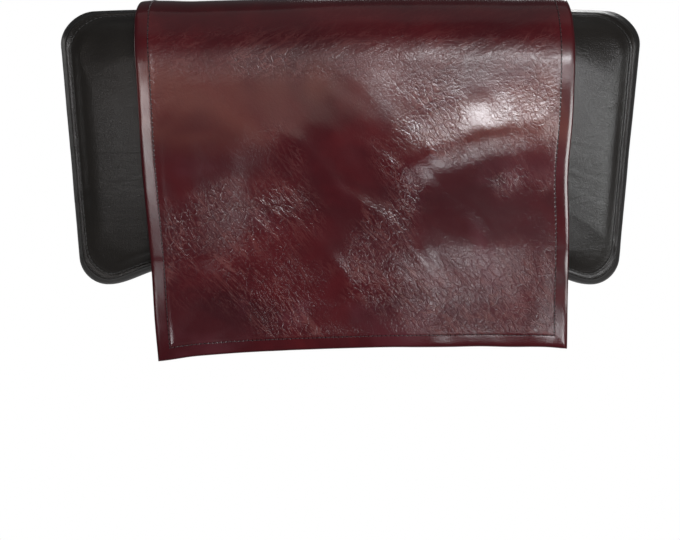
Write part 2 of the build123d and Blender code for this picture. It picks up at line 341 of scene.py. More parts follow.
def build_pad():
    """Rings for the side band and the front panel."""
    band, front = [], []
    # leather turned over the board's rear face
    opening = [(30.0, 0.1), (30.0, 0.9), (29.6, 1.15), (28.5, 1.2), (24.0, 1.2), (19.0, 1.2), (15.0, 1.2)]
    rear_foot_shift = 15.0
    for d, y in opening:
        band.append(pad_ring((d, y), (d, y), (d + rear_foot_shift * 0.0, y), 29 - 0.4 * d, 24 - 0.35 * d, 1.0))
    for a in np.linspace(0, 90, 10):
        d = 11.0 - 11.0 * math.sin(math.radians(a))
        y = 1.2 - 11.0 + 11.0 * math.cos(math.radians(a))
        band.append(pad_ring((d, y), (d, y), (d, y), 29 - 0.4 * d, 24 - 0.35 * d))
    # straight part of the band, pulled in a little
    for t in np.linspace(0.06, 1.0, 15):
        pull = 0.7 * math.sin(math.pi * t)
        band.append(pad_ring((0.55 * t + pull, -9.8 - t * 48.2), (pull, -9.8 - t * 56.2), (pull, -9.8 - t * 56.2)))
    # rounding, from the band to the seam
    back = [-12.0, -9.5, -7.5, -6.0, -5.2, -4.6, -4.1, -3.7, -3.4, -3.2, -3.0, -2.7, -2.3, -1.9, -1.5, -1.2, -0.9, -0.6, -0.35, -0.15, 0.0]
    for t in np.linspace(0.12, 0.88, 7):
        part = []
        for i, (r, deep, start) in enumerate(((48.0, 45.5, 9.0), (38.0, 35.5, 0.0), (38.0, 35.5, 0.0))):
            t_end = T_SEAM[i] - 12.0 / (r * (math.radians(82) - math.radians(start)))
            b = math.radians(start) + (math.radians(82) - math.radians(start)) * t_end * t
            part.append((r * (1 - math.cos(b)), -104 + r - deep * math.sin(b)))
        if part[0][1] < -58.2:
            band.append(pad_ring(*part))
        else:
            part[0] = (0.6, -58.2 - 0.6 * t)
            band.append(pad_ring(*part))
    for s in back:
        band.append(pad_ring(*seamed(s, float(groove(s)))))
    # seam allowance, turned inwards
    tucked = [pad_ring(*seamed(-0.1, 3.0)), pad_ring(*seamed(-0.6, 7.0))]
    band += tucked
    front.append(pad_ring(*seamed(0.6, 7.0)))
    front.append(pad_ring(*seamed(0.1, 3.0)))
    for s in back[::-1]:
        front.append(pad_ring(*seamed(-s, float(groove(s)))))
    # rounding in front of the seam
    for t in np.linspace(0.12, 1.0, 13):
        part = []
        for i, (r, deep, start) in enumerate(((48.0, 45.5, 9.0), (38.0, 35.5, 0.0), (38.0, 35.5, 0.0))):
            t0 = T_SEAM[i] + 12.0 / (r * (math.radians(82) - math.radians(start)))
            b = math.radians(start) + (math.radians(82) - math.radians(start)) * (t0 + (1 - t0) * t)
            part.append((r * (1 - math.cos(b)), -104 + r - deep * math.sin(b)))
        front.append(pad_ring(*part, r_top=29 + 5 * t, r_foot=24 + 9 * t, arch_share=1 - 0.45 * t))
    last = part
    # face, gently crowned
    for k in np.linspace(0, 1, 30)[1:]:
        def to(end, i):
            return (last[i][0] + (end - last[i][0]) * k, last[i][1] + (-103.6 - last[i][1]) * (1 - (1 - k) ** 2.4))
        front.append(pad_ring(to(120.4, 0), to(95.0, 1), to(120.4, 2), r_top=34 * (1 - k) + 22 * k * (1 - k), r_foot=33 * (1 - k) + 22 * k * (1 - k), arch_share=0.55 * (1 - k) ** 2))
    return band, front


def finish_pad(name, rings, kind):
    verts = np.concatenate([r[0] for r in rings])
    faces = ring_faces(len(rings), N_RING)
    if kind == "front":
        base = (len(rings) - 1) * N_RING
        # the innermost ring is nearly a line: its upper and lower runs are joined
        for i in range(N_TOP - 1):
            top, low = base + i, base + N_TOP + N_CORNER + N_SIDE + N_CORNER + N_TOP - i
            faces.append((top, top + 1, low - 1, low))
        start = N_TOP + 2 * N_CORNER + N_SIDE
        faces.append(tuple(base + i for i in range(N_TOP - 1, start + 2)))
        faces.append(tuple(base + i % N_RING for i in range(start + N_TOP, N_RING + 1)))
    normals = vertex_normals(verts, [f for f in faces if len(f) == 4])
    # the faces run so that normals point out of the pad
    centre = np.array([0, -50.0, 0])
    if np.mean(np.einsum("ij,ij->i", normals, verts - centre)) < 0:
        faces = [f[::-1] for f in faces]
        normals = -normals
    x, y, z = verts.T
    seam_local = SEAM_Y + (SEAM_TOP_Y - SEAM_Y) * smooth((z - 74) / 45)
    near = np.exp(-np.abs(y - seam_local) / 10.0)
    body = -0.55 + 0.55 * noise3(x, y, z, 85, 3) + 0.22 * noise3(x, y, z, 34, 5)
    run = np.arctan2(z, x * 0.5) * 150 + 0.4 * x
    pucker = near * (0.30 * noise3(run, 0, 0, 13, 7) + 0.16 * noise3(run, 0, 0, 6.0, 8))
    flat_rear = smooth((y + 6) / 6)
    amount = (body + pucker) * (1 - 0.85 * flat_rear) - 0.12
    covered = (np.abs(x) < 190) & (z > 60)
    amount = np.where(covered, np.minimum(amount, -0.05), amount)
    verts = verts + normals * amount[:, None]
    # the face is crowned from top to foot as well
    verts[:, 1] += smooth((-88 - y) / 14) * 3.4 * np.clip(np.abs(z - 4) / 95, 0, 1.15) ** 2
    obj = new_mesh(name, verts, faces)
    return obj, verts, normals


band_rings, front_rings = build_pad()
side_band, _, _ = finish_pad("side_band_leather", band_rings, "band")
front_panel, _, _ = finish_pad("front_panel_leather", front_rings, "front")


# ------------------------------------------------------------------ stitches
def stitches(name, points, tangents, normals, length, radius, lift, sides=8):
    """One mesh of short bent capsules, each with its ends pressed into the leather."""
    points, tangents, normals = (np.asarray(v, float) for v in (points, tangents, normals))
    across = np.cross(tangents, normals)
    steps = [(-0.5, -1.1, 0.25), (-0.47, -0.55, 0.8), (-0.36, 0.1, 1.0), (-0.15, 0.35, 1.0), (0.15, 0.35, 1.0), (0.36, 0.1, 1.0), (0.47, -0.55, 0.8), (0.5, -1.1, 0.25)]
    ang = np.arange(sides) / sides * 2 * np.pi
    verts, faces = [], []
    n = len(points)
    for t, h, r in steps:
        centre = points + tangents * (t * length) + normals * (lift + h * radius)
        loop = centre[:, None, :] + radius * r * (np.cos(ang)[None, :, None] * across[:, None, :] + np.sin(ang)[None, :, None] * normals[:, None, :])
        verts.append(loop)
    verts = np.stack(verts, 1).reshape(-1, 3)  # stitch, step, side
    per = len(steps) * sides
    for s in range(n):
        b = s * per
        for k in range(len(steps) - 1):
            for i in range(sides):
                j = (i + 1) % sides
                faces.append((b + k * sides + i, b + k * sides + j, b + (k + 1) * sides + j, b + (k + 1) * sides + i))
        faces.append(tuple(b + i for i in range(sides))[::-1])
        faces.append(tuple(b + (len(steps) - 1) * sides + i for i in range(sides)))
    return new_mesh(name, verts, faces)


def along_ring(points, normals, pitch):
    """Evenly spaced places along a closed ring, with tangents and normals."""
    closed = np.vstack([points, points[:1]])
    seg = np.linalg.norm(np.diff(closed, axis=0), axis=1)
    dist = np.concatenate([[0], np.cumsum(seg)])
    count = int(dist[-1] / pitch)
    at = (np.arange(count) + 0.5) * dist[-1] / count
    p = np.stack([np.interp(at, dist, closed[:, i]) for i in range(3)], 1)
    q = np.stack([np.interp((at + 0.6) % dist[-1], dist, closed[:, i]) for i in range(3)], 1)
    nn = np.vstack([normals, normals[:1]])
    m = np.stack([np.interp(at, dist, nn[:, i]) for i in range(3)], 1)
    m /= np.linalg.norm(m, axis=1, keepdims=True)
    t = q - p
    t /= np.linalg.norm(t, axis=1, keepdims=True)
    m -= t * np.einsum("ij,ij->i", m, t)[:, None]
    m /= np.linalg.norm(m, axis=1, keepdims=True)
    return p, t, m


def pad_row(obj, rings, which):
    mesh = obj.data
    co = np.empty(len(mesh.vertices) * 3)
    no = np.empty(len(mesh.vertices) * 3)
    mesh.vertices.foreach_get("co", co)
    mesh.vertices.foreach_get("normal", no)
    co, no = co.reshape(-1, 3) / MM, no.reshape(-1, 3)
    sl = slice(which * N_RING, (which + 1) * N_RING)
    return co[sl], no[sl]


band_at = len(band_rings) - 2 - 21 + 9  # the ring 3.2 mm behind the seam
front_at = 2 + 20 - 9  # the ring 3.2 mm in front of it
p, t, m = along_ring(*pad_row(side_band, band_rings, band_at), 4.0)
band_stitches = stitches("side_seam_stitches", p, t, m, 3.3, 0.34, 0.12)
p, t, m = along_ring(*pad_row(front_panel, front_rings, front_at), 4.0)
panel_stitches = stitches("front_seam_stitches", p, t, m, 3.3, 0.34, 0.12)


# ------------------------------------------------------------------ the loose cover, in millimetres
SHEET_W, SHEET_L = 355.6, 711.2
T = 1.2
HEM, ROW = 12.7, 11.4
GAP = 0.9
LEAN = math.atan(0.028)
REAR_IN, R_FRONT, R_REAR = 24.0, 48.0, 34.0
HEM_FRONT_Z = -173.0
OUT0 = GAP + 1.5 * T  # middle of the sheet, out from the pad

# path of the sheet's middle, from the front hem up, over and down behind
P1 = (TOP_MID - R_FRONT) - HEM_FRONT_Z
P2 = P1 + math.pi / 2 * (R_FRONT + OUT0)
Y_FRONT_TOP, Y_REAR_TOP = -104 + R_FRONT, REAR_IN - GAP - R_REAR
P3 = P2 + (Y_REAR_TOP - Y_FRONT_TOP)
P4 = P3 + math.pi / 2 * (R_REAR + OUT0)
S_MID = P2 + (-40.0 - Y_FRONT_TOP)


def path(s, out):
    """Place (y, z) and outward direction at s along the sheet, out from the pad by out."""
    s = np.asarray(s, float)
    y, z, ny, nz = (np.zeros_like(s) for _ in range(4))
    a = s <= P1
    y[a], z[a], ny[a], nz[a] = -104.0, (TOP_MID - R_FRONT) - (P1 - s[a]), -1, 0
    b = (s > P1) & (s <= P2)
    g = (s[b] - P1) / (R_FRONT + OUT0)
    y[b], z[b], ny[b], nz[b] = Y_FRONT_TOP - R_FRONT * np.cos(g), TOP_MID - R_FRONT + R_FRONT * np.sin(g), -np.cos(g), np.sin(g)
    c = (s > P2) & (s <= P3)
    y[c], z[c], ny[c], nz[c] = Y_FRONT_TOP + (s[c] - P2), TOP_MID, 0, 1
    d = (s > P3) & (s <= P4)
    g = (s[d] - P3) / (R_REAR + OUT0)
    y[d], z[d], ny[d], nz[d] = Y_REAR_TOP + R_REAR * np.sin(g), TOP_MID - R_REAR + R_REAR * np.cos(g), np.sin(g), np.cos(g)
    e = s > P4
    y[e], z[e], ny[e], nz[e] = REAR_IN - GAP, TOP_MID - R_REAR - (s[e] - P4), 1, 0
    return y + ny * out, z + nz * out, ny, nz


def bell(d, w):
    return np.exp(-(d / w) ** 2)


def ridge(u, z, u0, z0, u1, z1, width, height):
    """A straight fold from (u0, z0) to (u1, z1) that dies away at both ends."""
    length = math.hypot(u1 - u0, z1 - z0)
    cu, cz = (u1 - u0) / length, (z1 - z0) / length
    t = (u - u0) * cu + (z - z0) * cz
    n = -(u - u0) * cz + (z - z0) * cu
    bend = 0.06 * length * np.sin(np.pi * t / length)
    fade = smooth((t + 0.2 * length) / (0.45 * length)) * smooth((1.2 * length - t) / (0.45 * length))
    return height * np.exp(-((n - bend) / width) ** 2) * fade


PULLS = [
    (-14, -32, 62, -104, 6.0, 0.85),
    (-62, 22, -14, -32, 6.5, 0.55),
    (6, 4, 42, -26, 5.0, 0.50),
    (36, -4, 84, -42, 6.5, 0.40),
    (-76, -42, -8, -112, 6.0, 0.55),
    (-50, -60, -14, -92, 5.0, 0.35),
    (132, -62, 162, -112, 6.0, 0.50),
    (92, -40, 120, -92, 7.5, 0.60),
    (-132, -96, -84, -128, 6.0, 0.55),
]


def waves(u, v):
    """How far the sheet stands out from its plain hanging shape."""
    z = HEM_FRONT_Z + v  # height on the front flap
    on_front = smooth((P1 + 22 - v) / 50)
    low = smooth((-78 - z) / 80)  # below the pad, where the sheet hangs free
    field = smooth((178 - np.abs(u) - 9) / 20)
    # soft, mostly slanting folds that the hide keeps from being stored folded
    a, b = u * 0.72 - z * 0.69, u * 0.69 + z * 0.72
    d = on_front * (0.75 * noise3(a, b * 2.1, 0, 120, 11) + 0.34 * noise3(a, b * 1.8, 0, 52, 12) + 0.13 * noise3(a, b * 2.2, 0, 24, 13))
    # right: a swelling whose upper side leans back
    d += on_front * field * ridge(u, z, 30, -12, 165, 20, 17.0, 2.1)
    d += on_front * field * ridge(u, z, -96, -2, 30, 24, 26.0, 1.3)
    # left: a shallow dish next to the hem
    d -= on_front * 1.3 * bell(np.hypot((u + 122) * 0.9, (z + 34) * 0.55), 30)
    d += on_front * 1.2 * bell(np.hypot((u + 92) * 1.0, (z + 62) * 0.7), 26)
    for u0, z0, u1, z1, w, h in PULLS:
        d += on_front * field * ridge(u, z, u0, z0, u1, z1, w, h * 0.8)
    # foot of the front flap: corners come forward, middle goes back under the pad
    d += low * (2.6 * (np.abs(u) / 178) ** 3 - 5.0 * (1 - (u / 178) ** 2))
    d += 1.6 * field * bell(np.hypot((u - 126) * 0.5, z + 156), 30)
    d += 0.45 * noise3(u, z * 0.6, 0, 26, 19) * bell(z - 82, 24)
    d += 1.2 * field * bell(np.hypot((u + 20) * 0.35, z + 150), 17)
    d += low * 0.8 * np.sin(u / 31.0 + 0.6) * smooth((60 - v) / 60)
    # the bend over the front and the top: the sheet doesn't quite hug the pad
    d += (2.6 + 3.7 * smooth((u + 140) / 220)) * smooth((v - P1 + 4) / 66) * smooth((P4 - 6 - v) / 84)
    on_top = smooth((v - P1) / 40) * smooth((P4 - v) / 40)
    d += on_top * 0.35 * noise3(u, v, 0, 60, 14)
    # rear flap hangs free
    on_rear = smooth((v - P4 + 10) / 60)
    d += on_rear * (1.6 * noise3(u, v, 0, 120, 15) + 0.6 * noise3(u, v, 0, 50, 16))
    d += smooth((v - (SHEET_L - 90)) / 90) * 2.2 * (np.abs(u) / 178) ** 3
    # never into the pad
    over_pad = (v < P1 + 30) & (z > -86)
    floor_ = -0.45
    soft = floor_ + np.log1p(np.exp(np.clip((d - floor_) * 4.0, -30, 30))) / 4.0
    return np.where(over_pad | (on_top > 0.02), soft, d)


def hem_height(u, v):
    """Extra height of the outer face over the sheet's inner resting face: one ply, two at the hems."""
    es, ev = SHEET_W / 2 - np.abs(u), np.minimum(v, SHEET_L - v)
    e = np.minimum(es, ev)
    roll = np.sqrt(np.clip(1 - (1 - np.clip(e / 4.2, 0, 1)) ** 2, 0, 1))
    two = T * (1 - smooth((e - 12.0) / 34.0))
    lean = 0.055 * (np.clip(e, 0, ROW) - 4.2) * smooth((45 - u) / 90)
    lean = lean * smooth((e - 1.5) / 4) * smooth((15.5 - e) / 4)
    groove_ = 0.05 * bell(e - ROW, 0.9)
    h = T + two + lean - groove_
    return h * (0.5 + 0.5 * roll), e


def in_plane(u, v):
    """The sheet isn't quite a rectangle: small drift of its edges along and across."""
    z_front = HEM_FRONT_Z + v
    front = smooth((P1 + 30 - v) / 60)
    du = front * (-2.6 * bell(z_front + 22, 34) * smooth((u - 60) / 110) - 1.3 * bell(z_front + 0, 50) * smooth((-u - 60) / 110))
    du += 0.35 * noise3(v, 0, 0, 40, 21) * np.abs(u) / 178
    dv = np.zeros_like(u)
    foot = smooth((120 - v) / 120)
    dv += foot * 2.2 * (1 - (u / 178) ** 2)  # the middle of the hem rides up
    dv += smooth((50 - v) / 50) * (-2.6 * bell(SHEET_W / 2 + u, 22) - 1.0 * bell(SHEET_W / 2 - u, 14))
    dv += smooth((30 - v) / 30) * 0.35 * noise3(u, 0, 0, 26, 22)
    dv -= smooth((v - SHEET_L + 60) / 60) * (1.8 * bell(SHEET_W / 2 - np.abs(u), 24) + 0.35 * noise3(u, 5, 0, 26, 23))
    return du, dv


def cover_point(u, v, height):
    """Place of the sheet's point (u, v), height above its inner resting face."""
    u, v, height = np.broadcast_arrays(np.asarray(u, float), np.asarray(v, float), np.asarray(height, float))
    d = waves(u, v)
    du, dv = in_plane(u, v)
    uu, vv = u + du, v + dv
    s = S_MID + math.cos(LEAN) * (vv - S_MID) + math.sin(LEAN) * uu
    x = 1.0 + math.cos(LEAN) * uu - math.sin(LEAN) * (vv - S_MID)
    y, z, ny, nz = path(s, GAP - 0.25 + d + height)
    # it follows the crown of the pad's face
    y = y + (2.9 - 1.7 * smooth((u + 60) / 90)) * smooth((-88 - y) / 14) * (np.clip(z - 4, 0, None) / 95) ** 2
    z = z - (TOP_MID - top_edge(x)) * smooth((z - 66) / 58)
    return np.stack([x, y, z], -1)


def spaced_edge(length):
    """Sample places across a length, fine at both hems."""
    edge = [0.0, 0.12, 0.4, 0.9, 1.6, 2.6, 4.0, 5.6, 7.2, 8.6, 9.6, 10.2, 10.7, 11.1, 11.4, 11.7, 12.1, 12.6, 12.75, 13.4, 14.3, 15.4, 17.0, 19.0, 21.5, 24.5]
    n = int(round((length - 49) / 2.5))
    mid = np.linspace(24.5, length - 24.5, n + 1)[1:-1]
    return np.concatenate([edge, mid, length - np.array(edge[::-1])])


us = spaced_edge(SHEET_W) - SHEET_W / 2
vs = spaced_edge(SHEET_L)
NU, NV = len(us), len(vs)
U, V = np.meshgrid(us, vs)
H_OUT, E = hem_height(U, V)
H_IN = np.where(E < 12.68, 0.0, T * (1 - smooth((E - 12.0) / 34.0)))
# the fold: both faces round into the edge
fold = np.clip(E / 1.5, 0, 1)
round_off = 1 - np.sqrt(np.clip(1 - (1 - fold) ** 2, 0, 1))
mid_h = (H_OUT + H_IN) / 2
outer_h = mid_h + (H_OUT - mid_h) * (1 - round_off)
inner_h = mid_h - (mid_h - H_IN) * (1 - round_off)
outer = cover_point(U, V, outer_h).reshape(-1, 3)
inner = cover_point(U, V, inner_h).reshape(-1, 3)
idx = np.arange(NU * NV).reshape(NV, NU)
border = np.zeros((NV, NU), bool)
border[0], border[-1], border[:, 0], border[:, -1] = True, True, True, True
# the two faces share their rim, so the sheet is one closed skin
inner_idx = idx + NU * NV
inner_idx[border] = idx[border]
used = np.zeros(2 * NU * NV, bool)
used[idx.ravel()] = True
used[inner_idx.ravel()] = True
remap = np.cumsum(used) - 1
cover_verts = np.vstack([outer, inner])[used]
f_out = np.stack([idx[:-1, :-1], idx[:-1, 1:], idx[1:, 1:], idx[1:, :-1]], -1).reshape(-1, 4)
f_in = np.stack([inner_idx[:-1, :-1], inner_idx[1:, :-1], inner_idx[1:, 1:], inner_idx[:-1, 1:]], -1).reshape(-1, 4)
cover_faces = remap[np.vstack([f_out, f_in])]
cover = new_mesh("cover_leather_sheet", cover_verts, cover_faces)
uv = cover.data.uv_layers.new(name="sheet")
uv_all = np.concatenate([np.stack([U + SHEET_W / 2, V], -1).reshape(-1, 2)] * 2)[used] * MM
loops = np.empty(len(cover.data.loops), int)
cover.data.loops.foreach_get("vertex_index", loops)
uv.data.foreach_set("uv", uv_all[loops].ravel())
inner_side = np.zeros(len(cover_faces), int)
inner_side[len(f_out):] = 1
e_face = E[:-1, :-1].ravel()
# the turned ply shows the finished side, up to its raw edge
e_mid = (E[:-1, :-1] + E[1:, 1:]).ravel() / 2
inner_side[len(f_out):] = np.where(e_mid < 12.7, 0, 1)
cover.data.polygons.foreach_set("material_index", inner_side)


def cover_row(name, u, v, face):
    """Stitches along a line of the sheet; face 1 is the outer side, -1 the inner."""
    du, dv = u[1] - u[0], v[1] - v[0]
    pts = []
    for j, k in ((0, 0), (1, 0), (0, 1)):
        uu = u + 0.4 * j
        vv = v + 0.4 * k
        h, e = hem_height(uu, vv)
        if face < 0:
            h = np.zeros_like(h)
        pts.append(cover_point(uu, vv, h))
    pu, pv = pts[1] - pts[0], pts[2] - pts[0]
    n = np.cross(pu, pv)
    n /= np.linalg.norm(n, axis=1, keepdims=True)
    t = pu * du + pv * dv
    t /= np.linalg.norm(t, axis=1, keepdims=True)
    if face < 0:
        n = -n
    return pts[0], t, n


PITCH = 3.75
in_row = SHEET_W / 2 - ROW


def hem_stitches(name, side):
    parts = []
    if side in ("left", "right"):
        v = np.arange(ROW, SHEET_L - ROW, PITCH) + PITCH / 2
        u = np.full_like(v, in_row if side == "right" else -in_row)
    else:
        u = np.arange(-in_row, in_row, PITCH) + PITCH / 2
        v = np.full_like(u, ROW if side == "front" else SHEET_L - ROW)
    cols = [cover_row(name, u, v, f) for f in (1, -1)]
    p, t, n = (np.concatenate([c[i] for c in cols]) for i in range(3))
    return stitches(name, p, t, n, 3.05, 0.33, 0.10)


hem_rows = {s: hem_stitches(f"hem_{s}_stitches", s) for s in ("left", "right", "front", "rear")}


# ------------------------------------------------------------------ dust cover on the back
def build_dust_cover():
    inset, radius = 17.0, 20.0
    step = 2.6
    xs = np.arange(-92, 93) * step
    zs = np.arange(-44, 46) * step
    X, Z = np.meshgrid(xs, zs)
    x, z = X.ravel(), Z.ravel()

    def edge_distance(x, z):
        """Inside distance to the rounded outline, positive inside."""
        half = (HALF_TOP - inset) - (HALF_TOP - HALF_FOOT) * np.clip((TOP_END - z) / (TOP_END - FOOT_END), 0, 1)
        top = top_edge(x) - inset
        low = FOOT_MID + inset
        dx, dt, dl = half - np.abs(x), top - z, z - low
        dz = np.minimum(dt, dl)
        cx, cz = np.clip(radius - dx, 0, None), np.clip(radius - dz, 0, None)
        return np.where((cx > 0) & (cz > 0), radius - np.hypot(cx, cz), np.minimum(dx, dz))

    holes = [(a * 100.0, b * 50.0) for a in (-1, 1) for b in (-1, 1)]
    for _ in range(3):
        d = edge_distance(x, z)
        g = 0.05
        gx = (edge_distance(x + g, z) - d) / g
        gz = (edge_distance(x, z + g) - d) / g
        n = np.maximum(np.hypot(gx, gz), 1e-6)
        snap = np.abs(d) < 0.75 * step
        x = np.where(snap, x - d * gx / n, x)
        z = np.where(snap, z - d * gz / n, z)
    keep = edge_distance(x, z) > -0.3
    for hx, hz in holes:
        r = np.hypot(x - hx, z - hz)
        snap = np.abs(r - 9.0) < 0.72 * step
        k = np.where(snap, 9.0 / np.maximum(r, 1e-6), 1.0)
        x, z = hx + (x - hx) * k, hz + (z - hz) * k
        keep &= np.hypot(x - hx, z - hz) > 8.9
    idx = np.arange(len(x)).reshape(X.shape)
    quads = np.stack([idx[:-1, :-1], idx[:-1, 1:], idx[1:, 1:], idx[1:, :-1]], -1).reshape(-1, 4)
    quads = quads[keep[quads].all(1)]
    used = np.unique(quads)
    back = np.full(len(x), -1)
    back[used] = np.arange(len(used))
    x, z, quads = x[used], z[used], back[quads]
    edge_d = edge_distance(x, z)
    y = 1.72 + 0.14 * noise3(x, z, 0, 38, 31) + 0.10 * noise3(x * 0.4, z, 0, 14, 32) * smooth(edge_d / 8)
    n = len(x)
    verts = np.vstack([np.stack([x, y, z], 1), np.stack([x, y - 0.4, z], 1)])
    faces = [tuple(q[::-1]) for q in quads] + [tuple(q + n) for q in quads]
    count = {}
    for q in quads:
        for i in range(4):
            a, b = int(q[i]), int(q[(i + 1) % 4])
            count[(a, b)] = count.get((a, b), 0) + 1
    for (a, b) in list(count):
        if (b, a) not in count:
            faces.append((a, b, b + n, a + n))
    return new_mesh("dust_cover_cloth", verts, faces)


dust = build_dust_cover()


# ------------------------------------------------------------------ materials
def turned(m, vec, degrees, scale):
    """Coordinates turned about the y axis first and stretched afterwards, so streaks run along the turned direction."""
    return m.mapping(m.mapping(vec, (1, 1, 1), (0, math.radians(degrees), 0)), scale)


def cover_leather():
    m = Nodes("burgundy_leather")
    obj = m.coords("Object")
    uvc = m.tree.nodes.new("ShaderNodeUVMap")
    uvc.uv_map = "sheet"
    sx, sy, _ = m.separate(uvc.outputs[0])
    ox, oy, oz = m.separate(obj)
    # distance from the nearest edge of the sheet, and how far it is hem
    ex = m.math("SUBTRACT", SHEET_W / 2 * MM, m.math("ABSOLUTE", m.math("SUBTRACT", sx, SHEET_W / 2 * MM)))
    ey = m.math("SUBTRACT", SHEET_L / 2 * MM, m.math("ABSOLUTE", m.math("SUBTRACT", sy, SHEET_L / 2 * MM)))
    e = m.math("MINIMUM", ex, ey)
    field = m.span(e, 0.0100, 0.0150)
    # clouds of dye
    cloud = m.noise(m.mapping(obj, (1, 1, 1.3)), 10.0, 4.0, 0.55, 0.6)
    patch = m.noise(m.mapping(obj, (1, 1, 1), (0, 0.7, 0), (0.31, 0, 0.17)), 8.0, 3.0, 0.5, 0.9)
    base = m.ramp(cloud, [(0.30, (0.037, 0.0040, 0.0064)), (0.46, (0.053, 0.0050, 0.0076)), (0.60, (0.072, 0.0066, 0.0092)), (0.78, (0.094, 0.0096, 0.0115))])
    # brown pulled-up tone in patches, held to a band just below the roll, where it is also a painted warm reflection of
    # a wall
    upper = m.math("MULTIPLY", m.span(oz, -0.01, 0.03), m.span(oz, 0.085, 0.060))
    brown_tone_and_warm_sheen = m.math("MULTIPLY", m.span(patch, 0.40, 0.62, 0.0, 0.8), upper)
    base = m.mix(brown_tone_and_warm_sheen, base, (0.145, 0.042, 0.032))
    # painted reflection: mauve sheen in patches over the lower part of the front
    painted_mauve_sheen = m.math("MULTIPLY", m.span(m.noise(m.mapping(obj, (1, 1, 1), (0, 0, 0), (0.9, 0.2, 0.63)), 12.0, 3.0, 0.5, 0.5), 0.50, 0.68, 0.0, 0.5), m.span(oz, 0.02, -0.03))
    base = m.mix(painted_mauve_sheen, base, (0.100, 0.024, 0.033))
    # creased streaks in the grain, slanting down to the right below and up to the right at the top; their relief is
    # bumped, and their creases get a painted highlight further down
    low_dir = turned(m, obj, -50, (10.0, 14.0, 52.0))
    high_dir = turned(m, obj, 24, (12.0, 14.0, 60.0))
    low_fine = turned(m, obj, -54, (46.0, 60.0, 190.0))
    high_fine = turned(m, obj, 30, (50.0, 60.0, 190.0))
    up = m.span(m.math("ADD", oz, m.math("MULTIPLY", m.noise(obj, 9.0, 2.0), 0.05)), 0.045, 0.075)
    streak_l, streak_h = m.noise(low_dir, 1.0, 5.0, 0.58, 1.0), m.noise(high_dir, 1.0, 5.0, 0.58, 1.0)
    fine_l, fine_h = m.noise(low_fine, 1.0, 4.0, 0.6, 1.3), m.noise(high_fine, 1.0, 4.0, 0.6, 1.3)

    def blend(a, b):
        return m.math("ADD", m.math("MULTIPLY", a, m.math("SUBTRACT", 1.0, up)), m.math("MULTIPLY", b, up))

    streak, fine = blend(streak_l, streak_h), blend(fine_l, fine_h)
    crease = m.span(m.math("ABSOLUTE", m.math("SUBTRACT", streak, 0.5)), 0.0, 0.022, 1.0, 0.0)
    crease_fine = m.span(m.math("ABSOLUTE", m.math("SUBTRACT", fine, 0.5)), 0.0, 0.030, 1.0, 0.0)
    # zones where the sheen falls: they get the crackle's relief, and painted highlights and shade in its creases
    region = m.span(m.noise(m.mapping(obj, (1, 1, 1), (0.2, 0.1, 0), (0.7, 0.1, 0.4)), 11.0, 2.0, 0.5, 0.4), 0.43, 0.60)
    bend = m.math("MULTIPLY", m.span(oz, 0.050, 0.070, 0.0, 0.55), m.span(oz, 0.108, 0.088))
    region = m.math("MAXIMUM", m.math("MULTIPLY", region, m.span(oz, 0.072, 0.105, 1.0, 0.12)), bend)
    corner = m.math("MULTIPLY", m.span(ox, 0.035, 0.095, 0.0, 0.85), m.span(oz, -0.060, -0.105))
    region = m.math("MULTIPLY", m.math("MAXIMUM", region, corner), field)
    crease_all = m.math("MULTIPLY", m.math("MAXIMUM", m.math("MULTIPLY", crease, 0.75), m.math("MULTIPLY", crease_fine, 0.6)), region)
    # painted highlight: the creases are lightened where the sheen falls, as glints on their crests
    base = m.mix(m.math("MULTIPLY", crease_all, 0.40), base, (0.25, 0.088, 0.078))
    # fine crackle of the grain
    warp = m.tree.nodes.new("ShaderNodeVectorMath")
    warp.operation = "ADD"
    wn = m.tree.nodes.new("ShaderNodeTexNoise")
    m.link(obj, wn.inputs["Vector"])
    wn.inputs["Scale"].default_value = 240.0
    wn.inputs["Detail"].default_value = 2.0
    scaled = m.tree.nodes.new("ShaderNodeVectorMath")
    scaled.operation = "SCALE"
    m.link(wn.outputs["Color"], scaled.inputs[0])
    scaled.inputs["Scale"].default_value = 0.0030
    m.link(obj, warp.inputs[0])
    m.link(scaled.outputs[0], warp.inputs[1])
    warped = warp.outputs[0]
    cells = m.voronoi(turned(m, warped, -40, (0.8, 1.0, 1.25)), 330.0, "DISTANCE_TO_EDGE")
    cells_big = m.voronoi(turned(m, warped, -48, (0.62, 1.0, 1.3)), 150.0, "DISTANCE_TO_EDGE")
    pores = m.noise(obj, 1500.0, 2.0, 0.6)
    grain = m.math("ADD", m.math("MULTIPLY", m.span(cells, 0.0, 0.16), 0.40), m.math("MULTIPLY", m.span(cells_big, 0.0, 0.11), m.math("MULTIPLY_ADD", region, 0.8, 0.25)))
    # painted shade: the grain's creases are darker, a little everywhere and more in the sheen zones, between the lit
    # crests
    base = m.mix(m.math("MULTIPLY", m.span(cells_big, 0.0, 0.05, 1.0, 0.0), m.math("MULTIPLY_ADD", region, 0.25, 0.08)), base, (0.030, 0.004, 0.006))
    # painted shade: the roll of the fold is darker, where it turns away from the light
    base = m.mix(m.span(e, 0.0012, 0.0034, 0.70, 0.0), base, (0.040, 0.0042, 0.0060))
